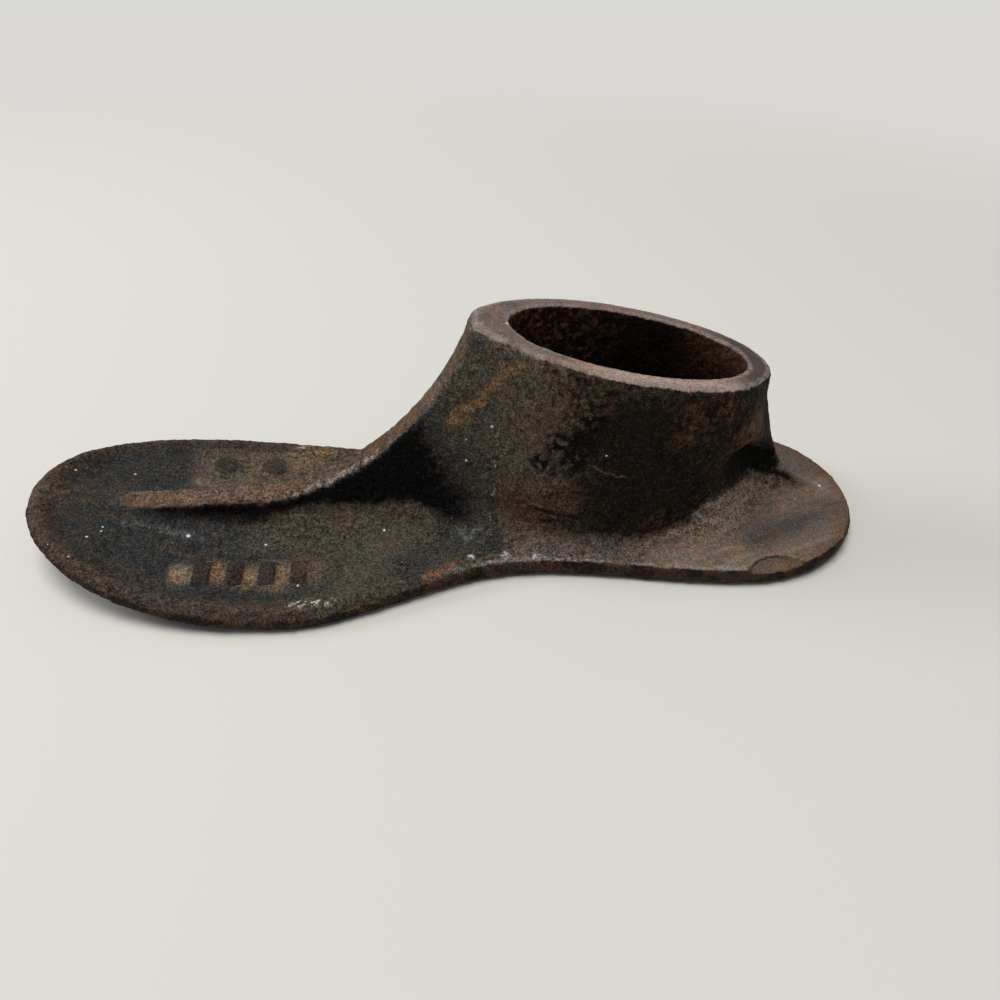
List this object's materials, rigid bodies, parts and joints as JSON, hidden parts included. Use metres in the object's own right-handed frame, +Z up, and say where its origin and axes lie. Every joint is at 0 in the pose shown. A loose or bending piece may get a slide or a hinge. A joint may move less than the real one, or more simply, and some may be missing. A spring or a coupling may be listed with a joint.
{
  "type": "cobbler shoe last",
  "caption": "Cast iron foot-shaped last for repairing shoes, with a sprung sole plate, an instep rib and an oval socket that drops over a stand's post.",
  "frame": {"origin": "on the ground under the middle of the sole's length and width, with the last lying sole down", "axes": "+X from the toe to the heel, +Y to the inner side of the foot, +Z up out of the socket"},
  "size_m": [0.2, 0.0694, 0.0553],
  "materials": {
    "cast_iron": "dark, rusted, sand-cast"
  },
  "bodies": {
    "root": {"forepart_plate": "cast_iron", "heel_plate": "cast_iron", "toe_rim": "cast_iron", "instep_rib": "cast_iron", "socket_wall": "cast_iron", "heel_rib": "cast_iron", "outer_marks": "cast_iron", "inner_marks": "cast_iron"}
  },
  "joints": []
}
